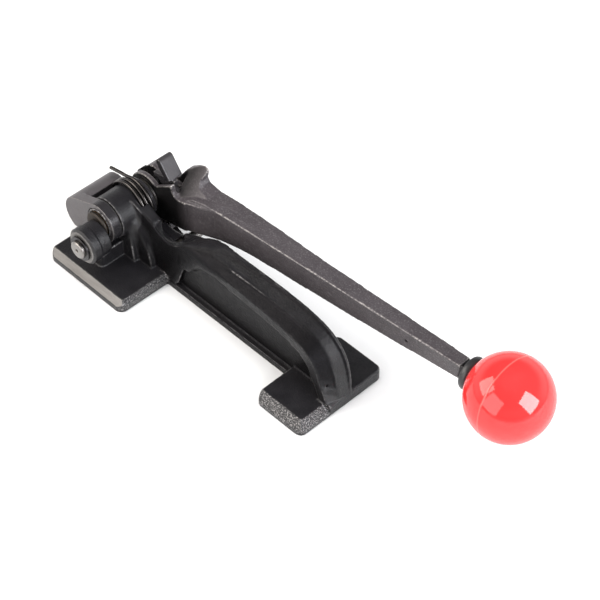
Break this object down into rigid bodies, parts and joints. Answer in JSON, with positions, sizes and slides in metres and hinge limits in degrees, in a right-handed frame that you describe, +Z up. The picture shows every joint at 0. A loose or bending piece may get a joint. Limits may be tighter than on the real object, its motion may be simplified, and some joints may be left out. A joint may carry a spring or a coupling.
{
  "type": "strapping tensioner tool",
  "caption": "Manual strapping tensioner: cast frame with two foot plates and a bow handle, slotted windlass, sprung gripper yoke and a ratchet hand lever with a ball knob.",
  "frame": {"origin": "on the sole, straight under the main shaft's axis and on the strap's side of the front foot", "axes": "+X along the tool from the windlass to the ball knob, +Y across it towards the lever's side, +Z up from the sole"},
  "size_m": [0.3409, 0.0958, 0.0967],
  "materials": {
    "black_paint": "glossy black enamel over a sand-cast surface",
    "lever_paint": "thin satin black-brown oxide on a forged bar, edges rubbed bright",
    "yoke_paint": "satin black oxide with a warm grey sheen",
    "steel": "ground and oiled steel",
    "dark_steel": "blackened steel",
    "spring_steel": "drawn spring wire, oiled",
    "bronze": "plain bronze bush",
    "zinc_yellow": "yellow passivated zinc",
    "red_knob": "glossy moulded red plastic with a fine parting line",
    "black_plastic": "satin black moulded collar"
  },
  "bodies": {
    "frame": {"frame_casting": "black_paint", "base_plug": "steel", "base_plug_screw": "dark_steel", "shaft_bush_near": "bronze", "shaft_bush_far": "bronze", "yoke_washer": "steel", "heel_pin": "zinc_yellow", "yoke_spring": "spring_steel", "lever_stop_pin": "steel", "holding_pawl_pin": "steel", "holding_pawl_ring": "dark_steel", "holding_pawl_spring": "spring_steel"},
    "windlass": {"main_shaft": "steel", "windlass_drum": "black_paint", "drum_key": "steel", "drum_snap_ring": "dark_steel", "ratchet_wheel": "dark_steel", "ratchet_key": "steel", "shaft_washer": "steel", "shaft_snap_ring": "dark_steel"},
    "gripper": {"gripper_yoke": "yoke_paint", "gripper_jaw": "steel", "gripper_jaw_pin": "steel"},
    "lever": {"lever_arm": "lever_paint", "lever_bush": "bronze", "drive_pawl_pin": "steel", "drive_pawl_spring": "spring_steel", "jam_nut": "dark_steel", "knob_collar": "black_plastic", "knob_insert": "bronze", "ball_knob": "red_knob"},
    "drive_pawl": {"drive_pawl": "yoke_paint"},
    "holding_pawl": {"holding_pawl": "dark_steel"}
  },
  "joints": [
    {"name": "lever_swing", "type": "hinge", "parent": "frame", "child": "lever", "pos_m": [0, 0, 0.0365], "axis": [0, -1, 0], "range_deg": [0, 110]},
    {"name": "windlass_turn", "type": "hinge", "parent": "frame", "child": "windlass", "pos_m": [0, 0, 0.0365], "axis": [0, -1, 0], "continuous": true},
    {"name": "gripper_lift", "type": "hinge", "parent": "frame", "child": "gripper", "pos_m": [0, 0, 0.0365], "axis": [0, 1, 0], "range_deg": [0, 20], "stiffness_Nm_per_rad": 0.6, "springref_deg": -28.65, "deforming": ["yoke_spring"]},
    {"name": "drive_pawl_lift", "type": "hinge", "parent": "lever", "child": "drive_pawl", "pos_m": [0.0225, 0.043, 0.0475], "axis": [0, 1, 0], "range_deg": [0, 10], "stiffness_Nm_per_rad": 0.03, "springref_deg": -34.38, "deforming": ["drive_pawl_spring"]},
    {"name": "holding_pawl_lift", "type": "hinge", "parent": "frame", "child": "holding_pawl", "pos_m": [0.0115, 0.0435, 0.014], "axis": [0, -1, 0], "range_deg": [0, 12], "stiffness_Nm_per_rad": 0.03, "springref_deg": -34.38, "deforming": ["holding_pawl_spring"]}
  ],
  "couplings": [
    {"joint": "windlass_turn", "follows": "lever_swing", "ratio": 1}
  ]
}
